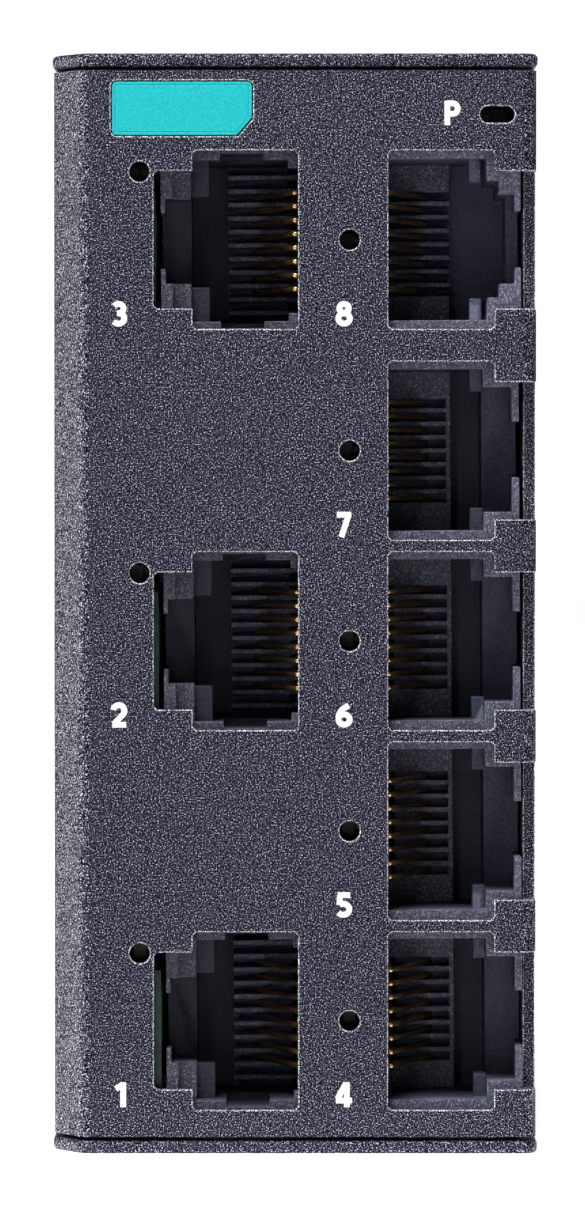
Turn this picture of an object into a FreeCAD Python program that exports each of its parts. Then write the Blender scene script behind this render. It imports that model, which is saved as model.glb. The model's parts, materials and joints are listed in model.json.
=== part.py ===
# Eight-port network switch for a DIN rail, in a folded sheet housing, as separate pieces.
# All sizes are in millimetres. X runs to the right as seen from the front, Y runs back from
# the front panel and Z runs up. The origin is the middle of the housing's underside.
# A depth is measured back from the front panel, and a drop is measured down from the top.
import FreeCAD
import Part
import math
import os

from FreeCAD import Vector

# Housing
housing_depth = 65.0
plate_width = 35.8
side_inset = 0.1
front_sheet = 0.9
rear_sheet = 1.0
plate_gap = 0.25
rear_wall_gap = 0.2
rear_bend_radius = 1.6
bevel_width = 2.2
bevel_depth = 3.2
bevel_bend_radius = 1.2
corner_radius = 1.1

# Rows of ports, with the room under the lowest and over the highest
bottom_row = 9.8
row_pitch = 14.0
top_row_step = 15.5
top_row_drop = 13.7

# Port windows in the front panel, each set in from its socket's contact side
window_bar = 0.9
notch_height = 10.1
window_corner = 0.25
left_window_inset = 0.96
left_window_width = 7.76
left_notch_width = 2.85
right_window_inset = 1.0
right_window_width = 7.8
side_notch_depth = 2.8

# Indicator holes, which stand off the boards' outer faces, and the power lamp's slot
led_hole_diameter = 1.5
left_led_offset = 0.17
left_led_rise = 5.0
right_led_offset = 0.3
power_slot_inset = 2.9
power_slot_drop = 4.5
power_slot_width = 2.55
power_slot_height = 1.23

# Coloured plate let into the front panel
label_inset = 4.4
label_drop = 6.0
label_width = 10.25
label_height = 3.9
label_chamfer_width = 1.1
label_chamfer_height = 1.27
label_thickness = 0.3
label_recess = 0.35
label_gap = 0.1
label_corner = 0.35

# Circuit boards, which sit at a slight lean inside the housing
board_lean_deg = -0.38
board_thickness = 1.2
board_front_depth = 2.0
board_screw_gap = 0.55
board_bottom = 3.0
left_board_drop = 4.0
right_board_drop = 2.8
led_notch_depth = 2.4
led_notch_height = 2.6

# Sockets. Each step of the latch slot states the wall that it leaves at the socket's latch side,
# its height and its end. A keeper states its reach from the step, its width and its height.
jack_set_back = 0.2
jack_standoff = 0.35
jack_side_gap = 0.05
jack_wall = 0.7
jack_end_wall = 0.8
jack_back_wall = 0.8
cavity_height = 11.9
cavity_end = 12.6
latch_gap_end = 7.0
keeper_start = 3.4
keeper_end = 6.0
pad_thickness = 2.0
pad_edge = 0.4
pad_front = 2.5
pad_back = 1.0
left_jack_width = 10.9
left_latch_steps = ((2.23, cavity_height, cavity_end), (0.35, 6.25, latch_gap_end))
left_latch_gap = 4.1
left_keeper = (1.34, 1.34, 2.6)
single_jack_width = 10.95
single_latch_steps = ((2.5, cavity_height, cavity_end), (1.61, 8.6, cavity_end), (0.95, 6.6, cavity_end),
                      (0.45, 6.6, latch_gap_end))
single_latch_gap = 4.2
single_keeper = (1.26, 0.88, 1.64)
ganged_jack_width = 10.72
ganged_latch_steps = ((2.63, cavity_height, cavity_end), (0.52, 9.2, latch_gap_end))
ganged_latch_gap = 4.1
ganged_keeper = (0.93, 0.92, 1.64)
left_set_back = 1.2
left_set_back_wall = 0.9
left_relief_start = 3.3
left_relief_width = 3.2
left_relief_depth = 0.5
left_relief_length = 6.0
left_corner_width = 0.8
left_corner_height = 0.6
left_corner_length = 2.0

# Contact wires and their combs
contact_count = 8
contact_pitch = 1.016
wire_width = 0.45
wire_thickness = 0.3
wire_floor = 0.25
wire_rise = 3.1
wire_tip = 10.9
wire_front = 2.1
wire_bend = 0.6
wire_tail_gap = 0.25
tail_slot_margin = 0.2
comb_start = 10.0
comb_slot = 0.66
comb_plate = 0.5
left_comb_reach = 5.3
left_fin_count = 11
right_comb_reach = 5.2
right_fin_count = 7
ganged_comb_bridge = 0.35

# Board fasteners
spacer_length = 14.38
spacer_across_flats = 5.0
lower_spacer_z = 8.0
upper_spacer_drop = 24.0
spacer_inset = 6.5
thread_radius = 1.45
thread_clearance = 0.08
stud_clearance = 0.15
stud_end_wall = 1.07
stud_tip_room = 0.6
board_screw_grip = 5.0
screw_tip_room = 1.5
hex_head_height = 2.0

# Housing and bracket fasteners
side_screw_inset = 6.0
tab_height = 30.0
tab_length = 9.5
tab_clearance = 0.1
truss_head_radius = 2.8
truss_head_height = 0.7
side_screw_length = 3.4
recess_span = 2.8
recess_width = 0.7
recess_depth = 0.9
ground_screw_side = 5.9
ground_screw_inset = 8.5
ground_thread_radius = 1.95
ground_head_radius = 3.8
ground_head_height = 2.4
ground_nut_across_flats = 7.0
ground_nut_height = 3.0
ground_screw_tip = 0.6

# Power connector: header on the left board, plug from above, one screw to each clamp
pole_pitch = 5.08
pole_count = 3
connector_depth = 40.5
plug_width = 9.7
plug_length = 16.1
plug_height = 16.8
plug_fit = 0.15
plug_proud = 0.8
plug_chamfer = 0.5
header_wall = 0.7
header_floor = 2.4
header_floor_gap = 0.6
header_top_gap = 0.4
pin_size = 1.0
pin_fit = 0.1
pin_tip_gap = 0.6
pin_tail = 1.0
clamp_drop = 5.4
clamp_height = 2.8
clamp_wall = 0.6
clamp_width = 3.6
fork_width = 3.0
fork_thickness = 2.4
fork_length = 7.6
fork_grip = 0.05
fork_tip_room = 0.3
wire_entry = 2.9
screw_row = -2.55
entry_row = 2.45
terminal_screw_radius = 1.3
screw_tip_gap = 0.05
terminal_head_radius = 1.9
terminal_head_gap = 0.1
terminal_head_height = 1.1
terminal_head_recess = 0.7
terminal_slot_width = 0.5
terminal_slot_depth = 0.6
top_opening_gap = 0.6

# Two-way slide switch under the top plate
dip_depth = 30.1
dip_width = 6.6
dip_length = 6.9
dip_height = 5.2
dip_top_gap = 0.8
dip_pitch = 2.54
dip_count = 2
dip_travel = 1.5
dip_slot_width = 1.2
dip_slot_depth = 1.9
knob_length = 1.3
knob_end_gap = 0.2
knob_fit = 0.08
knob_height = 1.5
knob_chamfer = 0.2
dip_opening_gap = 0.5

# Board to board link
link_depth = 40.5
link_z = 22.0
link_pin_count = 6
link_pitch = 2.54
link_pin = 0.64
link_socket_height = 8.5
link_base_height = 2.5
link_width = 5.0
link_pin_hole = 0.8
link_pin_depth = 6.0
link_pin_gap = 0.6

# Moulded components on the boards. A size is length along Y, height along Z and thickness.
port_led_size = (1.6, 1.2, 0.9)
port_led_gap = 0.1
power_led_size = (1.6, 0.8, 1.0)
transformer_length = 9.4
transformer_gap = 1.4
transformer_thickness = 5.4
transformer_depth = 21.5
switch_chip_size = (14.0, 14.0, 1.4)
switch_chip_depth = 44.5
switch_chip_z = 38.0
crystal_size = (5.0, 3.2, 1.2)
crystal_z = 26.0
inductor_size = (7.0, 7.0, 4.0)
inductor_corner = 1.2
inductor_z = 47.5
converter_size = (5.0, 4.0, 1.5)
converter_z = 40.0
supply_depth = 42.0
fuse_size = (3.0, 7.4, 2.4)
fuse_gap = 2.1
fuse_rise = 2.5
capacitor_radius = 4.0
capacitor_length = 10.0
capacitor_inset = 5.5
capacitor_z = 34.0

# Clear bar from the power lamp to its slot
guide_depth = 10.5
guide_front_depth = 2.6
guide_width = 2.8
guide_height = 1.0
guide_slot_gap = 0.2
guide_chamfer = 1.2
guide_lamp_gap = 0.1

# Bracket and latch for a 35 mm rail
rail_centre_z = 43.0
rail_width = 35.0
rail_edge_gap = 0.4
rail_slot = 1.5
hook_reach = 3.0
hook_thickness = 2.6
hook_inset = 1.5
hook_chamfer = 2.0
hook_top_drop = 0.4
hook_nose = 0.8
hook_nose_reach = 0.6
hook_nose_rise = 0.4
bracket_width = 26.0
bracket_bottom = 14.0
bracket_top = 66.0
bracket_thickness = 5.5
bracket_corner = 2.0
bracket_screw_z = 52.0
bracket_screw_length = 8.6
bracket_head_radius = 2.8
bracket_head_height = 1.8
bracket_head_gap = 0.1
bracket_tab_x = 9.9
bracket_tab_z = 20.0
bracket_tab_width = 3.0
bracket_tab_height = 6.0
bracket_tab_fit = 0.1
latch_width = 14.0
latch_side_gap = 0.2
latch_face_gap = 0.2
latch_thickness = 3.6
latch_bottom = 5.0
latch_top = 44.0
latch_corner = 1.2
latch_hook_width = 10.0
latch_hook_height = 5.5
latch_hook_slope = 2.2
latch_hook_edge = 1.5
spring_seat_z = 30.0
spring_seat_height = 2.0
spring_seat_gap = 0.1
seat_side_gap = 0.3
seat_end_gap = 0.5
spring_length = 11.0
spring_end_gap = 0.05
spring_radius = 1.45
spring_wire = 0.5
spring_turns = 4.5
spring_steps = 10
spring_window_width = 4.4
pull_hole_rise = 2.5
pull_hole_width = 5.2
pull_hole_height = 2.4

# Worked-out places
top_row = bottom_row + 3 * row_pitch + top_row_step
housing_height = top_row + top_row_drop
window_height = row_pitch - window_bar
front_y = -housing_depth / 2
back_y = housing_depth / 2
wall_x = plate_width / 2 - side_inset
inner_x = wall_x - front_sheet
panel_back_y = front_y + front_sheet
rear_inner_y = back_y - rear_sheet
top_inner_z = housing_height - rear_sheet
shell_bottom = rear_sheet + plate_gap
shell_top = housing_height - rear_sheet - plate_gap
shell_back = rear_inner_y - rear_wall_gap
side_screw_y = back_y - side_screw_inset
side_screw_z = housing_height / 2
ground_screw_x = inner_x - ground_screw_side
ground_screw_y = back_y - ground_screw_inset
lean_height = housing_height / 2
jack_half_height = cavity_height / 2 + jack_end_wall
right_board_face = inner_x - jack_side_gap - single_jack_width - jack_standoff
right_board_back_face = right_board_face - board_thickness
left_board_face = right_board_back_face - spacer_length
left_board_back_face = left_board_face - board_thickness
pillar_height = left_board_back_face + inner_x
spacer_stud = pillar_height - stud_end_wall - stud_tip_room
board_back_y = side_screw_y - thread_radius - board_screw_gap
spacer_y = board_back_y - spacer_inset
spacer_rows = (lower_spacer_z, housing_height - upper_spacer_drop)
capacitor_y = board_back_y - capacitor_inset
jack_front_y = panel_back_y + jack_set_back
left_contact_side = left_board_face + jack_standoff + left_jack_width
right_contact_side = right_board_face + jack_standoff
left_window_end = left_contact_side - left_window_inset
right_window_start = right_contact_side + right_window_inset
port_led_depth = board_front_depth + led_notch_depth + port_led_gap + port_led_size[0] / 2
left_led_x = left_board_back_face - left_led_offset
right_led_x = right_board_back_face - right_led_offset
power_slot_x = wall_x - power_slot_inset
power_slot_z = housing_height - power_slot_drop
label_left = -wall_x + label_inset
label_bottom = housing_height - label_drop
connector_x = left_board_face + header_wall + plug_fit + plug_width / 2
connector_y = front_y + connector_depth
plug_top = housing_height + plug_proud
plug_bottom = plug_top - plug_height
clamp_top = plug_top - clamp_drop
clamp_bottom = clamp_top - clamp_height
pin_tip = clamp_bottom - pin_tip_gap
header_floor_top = plug_bottom - header_floor_gap
header_floor_bottom = header_floor_top - header_floor
header_reach = plug_length / 2 + plug_fit + header_wall
fuse_depth = connector_depth + header_reach + fuse_gap + fuse_size[0] / 2
fuse_z = header_floor_bottom + fuse_rise
dip_y = front_y + dip_depth
dip_top = top_inner_z - dip_top_gap
dip_slot_length = knob_length + dip_travel + 2 * knob_end_gap
link_y = front_y + link_depth
guide_y = front_y + guide_depth
guide_end_y = front_y + guide_front_depth
bracket_face = back_y + bracket_thickness
latch_near = back_y + latch_face_gap
latch_far = latch_near + latch_thickness
transformer_size = (transformer_length, row_pitch - transformer_gap, transformer_thickness)
left_rows = {1: bottom_row, 2: bottom_row + 2 * row_pitch, 3: top_row}
right_rows = {4: bottom_row, 5: bottom_row + row_pitch, 6: bottom_row + 2 * row_pitch,
              7: bottom_row + 3 * row_pitch, 8: top_row}


class Jack:
    """One kind of socket. Distances u run from its contact side towards its latch side."""

    def __init__(self, contact_side, toward_latch, width, latch_steps, gap_height, keeper, comb_reach,
                 fin_count, comb_bridge):
        self.contact_side = contact_side
        self.toward_latch = toward_latch
        self.width = width
        self.latch_steps = [(width - wall, height, end) for wall, height, end in latch_steps]
        self.gap_height = gap_height
        self.cavity_side = self.latch_steps[0][0]
        self.keeper_near = self.cavity_side - keeper[0]
        self.keeper_far = self.keeper_near + keeper[1]
        self.keeper_height = keeper[2]
        self.comb_reach = comb_reach
        self.fin_count = fin_count
        self.comb_bridge = comb_bridge

    def x(self, u):
        return self.contact_side + self.toward_latch * u


single_left = Jack(left_contact_side, -1, left_jack_width, left_latch_steps, left_latch_gap,
                   left_keeper, left_comb_reach, left_fin_count, 0)
single_right = Jack(right_contact_side, 1, single_jack_width, single_latch_steps, single_latch_gap,
                    single_keeper, right_comb_reach, right_fin_count, 0)
ganged_right = Jack(right_contact_side, 1, ganged_jack_width, ganged_latch_steps, ganged_latch_gap,
                    ganged_keeper, right_comb_reach, right_fin_count, ganged_comb_bridge)


def box(x0, x1, y0, y1, z0, z1):
    """A block between two corners given as ranges along X, Y and Z."""
    low = Vector(min(x0, x1), min(y0, y1), min(z0, z1))
    return Part.makeBox(abs(x1 - x0), abs(y1 - y0), abs(z1 - z0), low)


def cylinder(radius, start, axis, length):
    return Part.makeCylinder(radius, length, Vector(*start), Vector(*axis))


def prism(points, direction):
    """A polygon given by its corners, drawn out along a direction."""
    corners = [Vector(*p) for p in points]
    face = Part.Face(Part.makePolygon(corners + corners[:1]))
    return face.extrude(Vector(*direction))


def hexagon(across_flats, start, length):
    """A hexagonal bar along X."""
    radius = across_flats / math.sqrt(3)
    corners = []
    for i in range(6):
        angle = math.radians(60 * i)
        corners.append((start[0], start[1] + radius * math.cos(angle), start[2] + radius * math.sin(angle)))
    return prism(corners, (length, 0, 0))


def edges_along(shape, axis):
    """Straight edges of a shape that run along one axis."""
    straight = [edge for edge in shape.Edges if isinstance(edge.Curve, Part.Line)]
    return [edge for edge in straight if abs(edge.tangentAt(edge.FirstParameter).dot(Vector(*axis))) > 0.999]


def upper_edges(shape, axis, height):
    """Straight edges along one axis whose middle lies above a height."""
    return [edge for edge in edges_along(shape, axis) if edge.CenterOfMass.z > height]


def rear_edges(shape):
    """Straight edges along X at the back of a shape."""
    return [edge for edge in edges_along(shape, (1, 0, 0)) if edge.CenterOfMass.y > 0]


def side_bore(radius):
    """The line of the two side screws, right through the housing."""
    return cylinder(radius, (-wall_x - 1, side_screw_y, side_screw_z), (1, 0, 0), 2 * wall_x + 2)


def fuse(pieces):
    """One solid out of pieces that meet."""
    whole = pieces[0].multiFuse(pieces[1:]) if len(pieces) > 1 else pieces[0]
    return whole.removeSplitter()


def cut(shape, tools):
    return shape.cut(Part.makeCompound(tools)) if tools else shape


def lean(shape):
    """Turn a piece by the boards' lean, about a line along Y at mid height."""
    leaned = shape.copy()
    leaned.rotate(Vector(0, 0, lean_height), Vector(0, 1, 0), board_lean_deg)
    return leaned


def plan_corners(inset, back, half_width):
    """The housing seen from above, moved in by an inset: bevel at the left, square at the right."""
    left = -half_width
    slope = math.hypot(bevel_width, bevel_depth)
    inner_side_y = front_y + bevel_depth + inset * (slope - bevel_depth) / bevel_width
    inner_front_x = left + bevel_width + inset * (slope - bevel_width) / bevel_depth
    return [(left + inset, back), (left + inset, inner_side_y), (inner_front_x, front_y + inset),
            (half_width - inset, front_y + inset), (half_width - inset, back)]


def plan_block(inset, back, half_width, bottom, top):
    """The plan drawn up between two heights, with its three folded corners rounded."""
    corners = plan_corners(inset, back, half_width)
    block = prism([(x, y, bottom) for x, y in corners], (0, 0, top - bottom))
    bevel_corners = [corners[1], corners[2]]
    radii = {}
    for edge in edges_along(block, (0, 0, 1)):
        x, y = edge.Vertexes[0].X, edge.Vertexes[0].Y
        for corner in bevel_corners:
            if math.hypot(x - corner[0], y - corner[1]) < 0.01:
                radii.setdefault(bevel_bend_radius - inset, []).append(edge)
        if math.hypot(x - corners[3][0], y - corners[3][1]) < 0.01:
            radii.setdefault(corner_radius - inset, []).append(edge)
    for radius in sorted(radii):
        block = block.makeFillet(radius, [same_edge(block, edge) for edge in radii[radius]])
    return block


def same_edge(shape, wanted):
    """The edge of a shape that lies where a given edge lies."""
    middle = wanted.CenterOfMass
    return min(shape.Edges, key=lambda edge: edge.CenterOfMass.distanceToPoint(middle))


def window_tool(main_start, main_end, notch_end, row):
    """What the panel loses at a port: a tall window with a lower notch at its latch side."""
    half = window_height / 2
    low = notch_height / 2
    front = front_y - 1
    depth = side_notch_depth + 1
    corners = [(main_start, row - half), (main_end, row - half), (main_end, row - low), (notch_end, row - low),
               (notch_end, row + low), (main_end, row + low), (main_end, row + half), (main_start, row + half)]
    tool = prism([(x, front, z) for x, z in corners], (0, depth, 0))
    outer = [e for e in edges_along(tool, (0, 1, 0)) if outer_corner(e, main_end, notch_end, row)]
    return tool.makeChamfer(window_corner, outer)


def outer_corner(edge, main_end, notch_end, row):
    """True for a window's own corners, false where its notch begins or where it leaves the side."""
    x = edge.Vertexes[0].X
    rise = abs(edge.Vertexes[0].Z - row)
    if abs(x - main_end) < 0.01:
        return rise > notch_height / 2 + 0.01
    return abs(x) < wall_x


def pill_tool(x, z, width, height):
    """A slot with round ends through the front panel."""
    reach = (width - height) / 2
    start = front_y - 1
    length = front_sheet + 2
    middle = box(x - reach, x + reach, start, start + length, z - height / 2, z + height / 2)
    ends = [cylinder(height / 2, (x + side * reach, start, z), (0, 1, 0), length) for side in (-1, 1)]
    return fuse([middle] + ends)


def label_outline(grow, front, depth):
    """The coloured plate's outline, with its lower right corner cut off."""
    x0 = label_left - grow
    x1 = label_left + label_width + grow
    z0 = label_bottom - grow
    z1 = label_bottom + label_height + grow
    corners = [(x0, z0), (x1 - label_chamfer_width, z0), (x1, z0 + label_chamfer_height), (x1, z1), (x0, z1)]
    outline = prism([(x, front, z) for x, z in corners], (0, depth, 0))
    square = [(x0, z0), (x0, z1), (x1, z1)]
    rounded = [e for e in edges_along(outline, (0, 1, 0))
               if min(math.hypot(e.Vertexes[0].X - x, e.Vertexes[0].Z - z) for x, z in square) < 0.01]
    return outline.makeFillet(label_corner + grow, rounded)


def make_front_housing():
    """Front panel and both sides, folded from one sheet."""
    outside = plan_block(0, shell_back, wall_x, shell_bottom, shell_top)
    inside = plan_block(front_sheet, shell_back + 1, wall_x, shell_bottom - 1, shell_top + 1)
    shell = outside.cut(inside)
    tools = []
    for row in left_rows.values():
        notch_start = left_window_end - left_window_width
        tools.append(window_tool(left_window_end, notch_start, notch_start - left_notch_width, row))
        tools.append(cylinder(led_hole_diameter / 2, (left_led_x, front_y - 1, row + left_led_rise), (0, 1, 0),
                              front_sheet + 2))
    for row in right_rows.values():
        window_end = right_window_start + right_window_width
        tools.append(window_tool(right_window_start, window_end, wall_x + 1, row))
        tools.append(cylinder(led_hole_diameter / 2, (right_led_x, front_y - 1, row), (0, 1, 0),
                              front_sheet + 2))
    tools.append(pill_tool(power_slot_x, power_slot_z, power_slot_width, power_slot_height))
    tools.append(label_outline(label_gap, front_y - 1, 1 + label_recess))
    return cut(shell, tools + [side_bore(thread_radius + thread_clearance)])


def make_front_label():
    return label_outline(0, front_y + label_recess - label_thickness, label_thickness)


def make_rear_cover():
    """Back, top and bottom, folded from one sheet, with a tab at each side that takes its screw."""
    half = plate_width / 2
    outer = box(-half, half, front_y, back_y, 0, housing_height)
    outer = outer.makeFillet(rear_bend_radius, rear_edges(outer))
    inner = box(-half - 1, half + 1, front_y - 1, rear_inner_y, rear_sheet, top_inner_z)
    inner = inner.makeFillet(rear_bend_radius - rear_sheet, rear_edges(inner))
    folded = outer.cut(inner)
    folded = folded.common(plan_block(0, back_y + 1, half, -1, housing_height + 1))
    tab_outer = inner_x - tab_clearance
    tabs = []
    for side in (-1, 1):
        tabs.append(box(side * tab_outer, side * (tab_outer - rear_sheet), rear_inner_y - tab_length,
                        rear_inner_y, side_screw_z - tab_height / 2, side_screw_z + tab_height / 2))
    cover = fuse([folded] + tabs)
    tools = [side_bore(thread_radius + thread_clearance)]
    tools.append(cylinder(thread_radius + thread_clearance, (0, rear_inner_y - 1, bracket_screw_z), (0, 1, 0),
                          rear_sheet + 2))
    for side in (-1, 1):
        tools.append(bracket_tab(side, bracket_tab_fit))
    tools.append(ground_bore(top_inner_z - 1, rear_sheet + 2))
    opening_x = plug_width / 2 + top_opening_gap
    opening_y = plug_length / 2 + top_opening_gap
    plug_opening = box(connector_x - opening_x, connector_x + opening_x, connector_y - opening_y,
                       connector_y + opening_y, top_inner_z - 1, housing_height + 1)
    dip_opening = box(right_board_face + dip_opening_gap, right_board_face + dip_width - dip_opening_gap,
                      dip_y - dip_length / 2 + dip_opening_gap, dip_y + dip_length / 2 - dip_opening_gap,
                      top_inner_z - 1, housing_height + 1)
    return cut(cover, tools + [plug_opening, dip_opening])


def pan_screw(start, axis, head_radius, head_height, shank_radius, shank_length):
    """A screw whose head stands on a face at start, with its shank running against the axis."""
    head = cylinder(head_radius, start, axis, head_height)
    back = tuple(-a for a in axis)
    screw = fuse([head, cylinder(shank_radius, start, back, shank_length)])
    top = [s + a * head_height for s, a in zip(start, axis)]
    return screw.cut(cross_recess(top, axis))


def cross_recess(top, axis):
    """The cross that a screw's head has for its driver, as a tool to cut from above."""
    arms = []
    across = [i for i in range(3) if abs(axis[i]) < 0.5]
    for long_way, short_way in (across, across[::-1]):
        low = [t - a * recess_depth for t, a in zip(top, axis)]
        high = [t + a for t, a in zip(top, axis)]
        for i, reach in ((long_way, recess_span / 2), (short_way, recess_width / 2)):
            low[i] -= reach
            high[i] += reach
        arms.append(box(low[0], high[0], low[1], high[1], low[2], high[2]))
    return fuse(arms)


def make_housing_screws():
    screws = []
    for side in (-1, 1):
        start = (side * wall_x, side_screw_y, side_screw_z)
        screws.append(pan_screw(start, (side, 0, 0), truss_head_radius, truss_head_height, thread_radius,
                                side_screw_length))
    return Part.makeCompound(screws)


def ground_bore(bottom, length):
    """The ground screw's clearance hole, upwards from a height."""
    start = (ground_screw_x, ground_screw_y, bottom)
    return cylinder(ground_thread_radius + thread_clearance, start, (0, 0, 1), length)


def make_ground_screw():
    length = rear_sheet + ground_nut_height + ground_screw_tip
    return pan_screw((ground_screw_x, ground_screw_y, housing_height), (0, 0, 1), ground_head_radius,
                     ground_head_height, ground_thread_radius, length)


def make_ground_nut():
    """Nut pressed to the underside of the top plate."""
    radius = ground_nut_across_flats / math.sqrt(3)
    bottom = top_inner_z - ground_nut_height
    corners = []
    for i in range(6):
        angle = math.radians(60 * i)
        x = ground_screw_x + radius * math.cos(angle)
        y = ground_screw_y + radius * math.sin(angle)
        corners.append((x, y, bottom))
    nut = prism(corners, (0, 0, ground_nut_height))
    return nut.cut(ground_bore(bottom - 1, ground_nut_height + 2))


def board_blank(back_face, face, top, lamp_heights):
    """A board, with its fasteners' holes and a notch in its front edge before each port's lamp."""
    front = front_y + board_front_depth
    board = box(back_face, face, front, board_back_y, board_bottom, top)
    holes = [cylinder(thread_radius + stud_clearance, (back_face - 1, spacer_y, z), (1, 0, 0),
                      board_thickness + 2) for z in spacer_rows]
    half = led_notch_height / 2
    for z in lamp_heights:
        holes.append(box(back_face - 1, face + 1, front - 1, front + led_notch_depth, z - half, z + half))
    return board, holes


def make_left_board():
    board, holes = board_blank(left_board_back_face, left_board_face, housing_height - left_board_drop,
                               [row + left_led_rise for row in left_rows.values()])
    half = pin_size / 2 + pin_fit
    for y in pole_places():
        level = header_floor_bottom - pin_fit - pin_size / 2
        holes.append(box(left_board_back_face - 1, left_board_face + 1, y - half, y + half, level - half,
                         level + half))
    return lean(cut(board, holes))


def make_right_board():
    board, holes = board_blank(right_board_back_face, right_board_face, housing_height - right_board_drop,
                               right_rows.values())
    return lean(cut(board, holes))


def make_wall_standoffs():
    """Pillars pressed into the left side, each as long as the leaning board needs."""
    beyond = lean(box(left_board_back_face, 0, front_y, back_y, 0, housing_height))
    pillars = []
    bore_length = spacer_stud + stud_tip_room
    for z in spacer_rows:
        pillar = hexagon(spacer_across_flats, (-inner_x, spacer_y, z), inner_x + left_board_back_face + 1)
        bore_start = (left_board_back_face - bore_length, spacer_y, z)
        bore = cylinder(thread_radius + stud_clearance, bore_start, (1, 0, 0), bore_length + 1)
        pillars.append(pillar.cut(beyond).cut(lean(bore)))
    return Part.makeCompound(pillars)


def make_board_spacers():
    """Hexagonal spacers between the boards, with studs that pass through the left one."""
    spacers = []
    for z in spacer_rows:
        body = hexagon(spacer_across_flats, (left_board_face, spacer_y, z), spacer_length)
        stud = cylinder(thread_radius, (left_board_face, spacer_y, z), (-1, 0, 0),
                        board_thickness + spacer_stud)
        bore = cylinder(thread_radius + thread_clearance, (right_board_back_face + 1, spacer_y, z), (-1, 0, 0),
                        board_screw_grip + screw_tip_room)
        spacers.append(lean(fuse([body, stud]).cut(bore)))
    return Part.makeCompound(spacers)


def make_board_screws():
    screws = []
    for z in spacer_rows:
        head = hexagon(spacer_across_flats, (right_board_face, spacer_y, z), hex_head_height)
        shank = cylinder(thread_radius, (right_board_face, spacer_y, z), (-1, 0, 0),
                         board_thickness + board_screw_grip)
        screws.append(lean(fuse([head, shank])))
    return Part.makeCompound(screws)


def jack_cavity(jack, row):
    """The space inside one socket: plug space, stepped latch slot and the gap in its outer wall."""
    half = cavity_height / 2
    tools = []
    start = jack_wall
    for reach, height, end in jack.latch_steps:
        tools.append(box(jack.x(start), jack.x(reach), jack_front_y - 1, front_y + end, row - height / 2,
                         row + height / 2))
        start = reach
    tools.append(box(jack.x(start), jack.x(jack.width + 1), jack_front_y - 1, front_y + latch_gap_end,
                     row - jack.gap_height / 2, row + jack.gap_height / 2))
    contacts = contact_count * contact_pitch / 2 + tail_slot_margin
    tools.append(box(jack.x(jack_wall), jack.x(jack_wall + wire_floor + 2 * wire_thickness),
                     front_y + cavity_end - 1, front_y + cavity_end + jack_back_wall + 1, row - contacts,
                     row + contacts))
    space = fuse(tools)
    keepers = []
    for side in (-1, 1):
        keepers.append(box(jack.x(jack.keeper_near), jack.x(jack.keeper_far), front_y + keeper_start,
                           front_y + keeper_end, row + side * half, row + side * (half - jack.keeper_height)))
    return cut(space, keepers)


def jack_shell(jack, rows):
    """Moulded socket housing for one or more rows, with the pads that stand it off the board."""
    low = min(rows) - jack_half_height
    high = max(rows) + jack_half_height
    back = front_y + cavity_end + jack_back_wall
    shell = box(jack.x(0), jack.x(jack.width), jack_front_y, back, low, high)
    shell = cut(shell, [jack_cavity(jack, row) for row in rows])
    on_latch_side = jack.toward_latch < 0
    face = jack.x(jack.width) if on_latch_side else jack.x(0)
    pads = []
    for z in (low + pad_edge, high - pad_edge - pad_thickness):
        for y in (jack_front_y + pad_front, back - pad_back - pad_thickness):
            pads.append(box(face, face - jack_standoff, y, y + pad_thickness, z, z + pad_thickness))
    return shell, pads


def make_left_jack(row):
    """Socket whose latch faces its board: its latch side is set back and its lips are relieved."""
    jack = single_left
    shell, pads = jack_shell(jack, [row])
    half = cavity_height / 2
    tools = [box(jack.x(jack.cavity_side), jack.x(jack.width - left_set_back_wall), jack_front_y - 1,
                 jack_front_y + left_set_back, row - jack_half_height - 1, row + jack_half_height + 1)]
    for side in (-1, 1):
        tools.append(box(jack.x(left_relief_start), jack.x(left_relief_start + left_relief_width),
                         jack_front_y - 1, jack_front_y + left_relief_length, row,
                         row + side * (half + left_relief_depth)))
        pads.append(box(jack.x(jack_wall), jack.x(jack_wall + left_corner_width), jack_front_y,
                        jack_front_y + left_corner_length, row + side * half,
                        row + side * (half - left_corner_height)))
    return lean(fuse([cut(shell, tools)] + pads))


def make_right_jack(jack, rows):
    shell, pads = jack_shell(jack, rows)
    return lean(fuse([shell] + pads))


def strip(points, thickness):
    """A thin strip that follows a line of points in one plane, as the corners of its outline."""
    half = thickness / 2
    one_side = []
    other_side = []
    for i, (u, v) in enumerate(points):
        before = points[max(i - 1, 0)]
        after = points[min(i + 1, len(points) - 1)]
        if i == 0:
            before = (2 * u - after[0], 2 * v - after[1])
        if i == len(points) - 1:
            after = (2 * u - before[0], 2 * v - before[1])
        a = math.atan2(v - before[1], u - before[0])
        b = math.atan2(after[1] - v, after[0] - u)
        turn = (b - a + math.pi) % (2 * math.pi) - math.pi
        middle = a + turn / 2
        reach = half / math.cos(turn / 2)
        offset = (-math.sin(middle) * reach, math.cos(middle) * reach)
        one_side.append((u + offset[0], v + offset[1]))
        other_side.append((u - offset[0], v - offset[1]))
    return one_side + other_side[::-1]


def wire_route(foot):
    """A contact's line: foot on the board, along the floor, round its front bend, back to the comb."""
    floor = jack_wall + wire_floor
    back = cavity_end + jack_back_wall + wire_tail_gap + wire_thickness / 2
    return [(foot, back), (floor, back), (floor, wire_front + wire_bend), (floor + wire_bend, wire_front),
            (floor + wire_rise, wire_tip)]


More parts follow.
